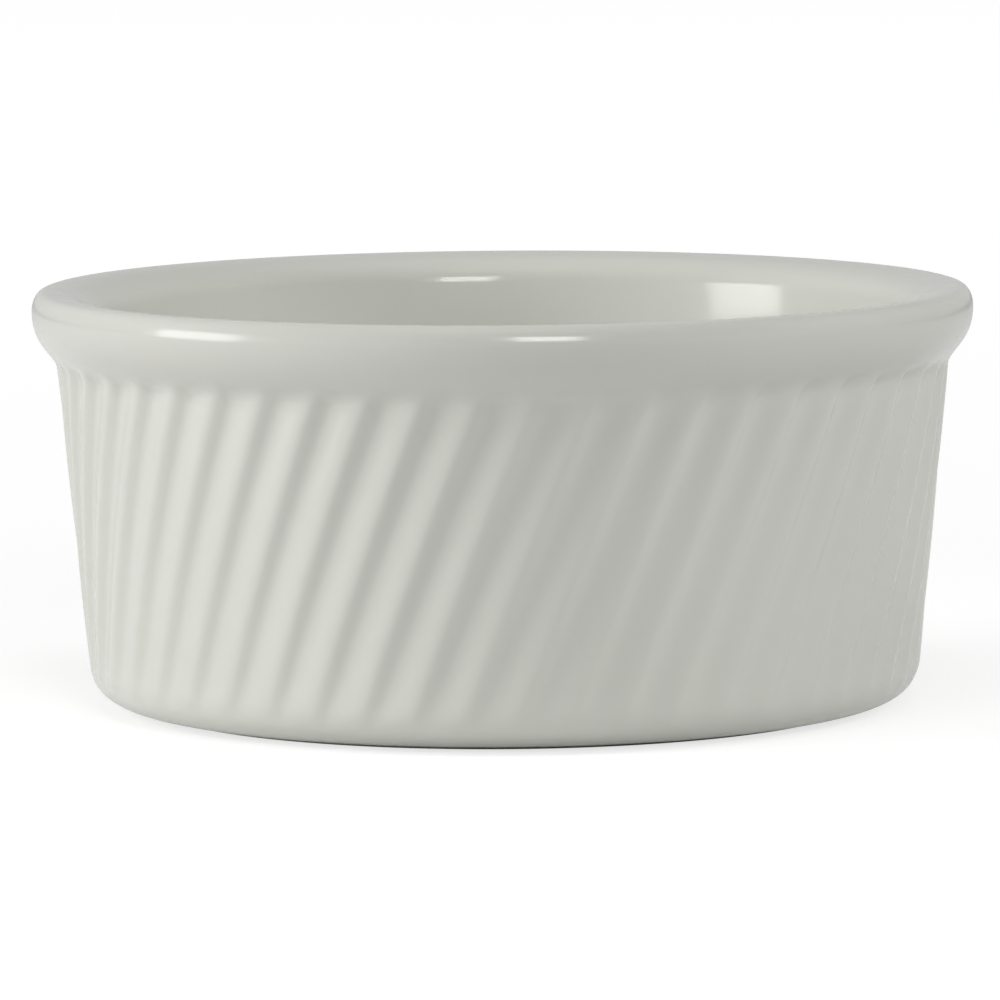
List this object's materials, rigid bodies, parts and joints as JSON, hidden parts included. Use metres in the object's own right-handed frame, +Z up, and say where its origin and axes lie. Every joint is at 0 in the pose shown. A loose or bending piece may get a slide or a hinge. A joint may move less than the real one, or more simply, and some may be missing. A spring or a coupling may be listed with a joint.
{
  "type": "souffle dish",
  "caption": "Round straight-sided ceramic souffle dish with swirled ribs round the outside, a plain rolled rim, a smooth inside and a low foot ring, glazed off-white.",
  "frame": {"origin": "centre of the foot ring's resting plane, on the axis of the dish", "axes": "+Z up along the axis of the dish towards the rim; -Y is the side that faces the camera in the picture and +X is its right-hand side"},
  "size_m": [0.108, 0.108, 0.048],
  "materials": {
    "bare_clay": "matte",
    "glaze": "gloss"
  },
  "bodies": {
    "root": {"ceramic_body": "bare_clay", "glaze_coat": "glaze", "base_glaze": "glaze"}
  },
  "joints": []
}
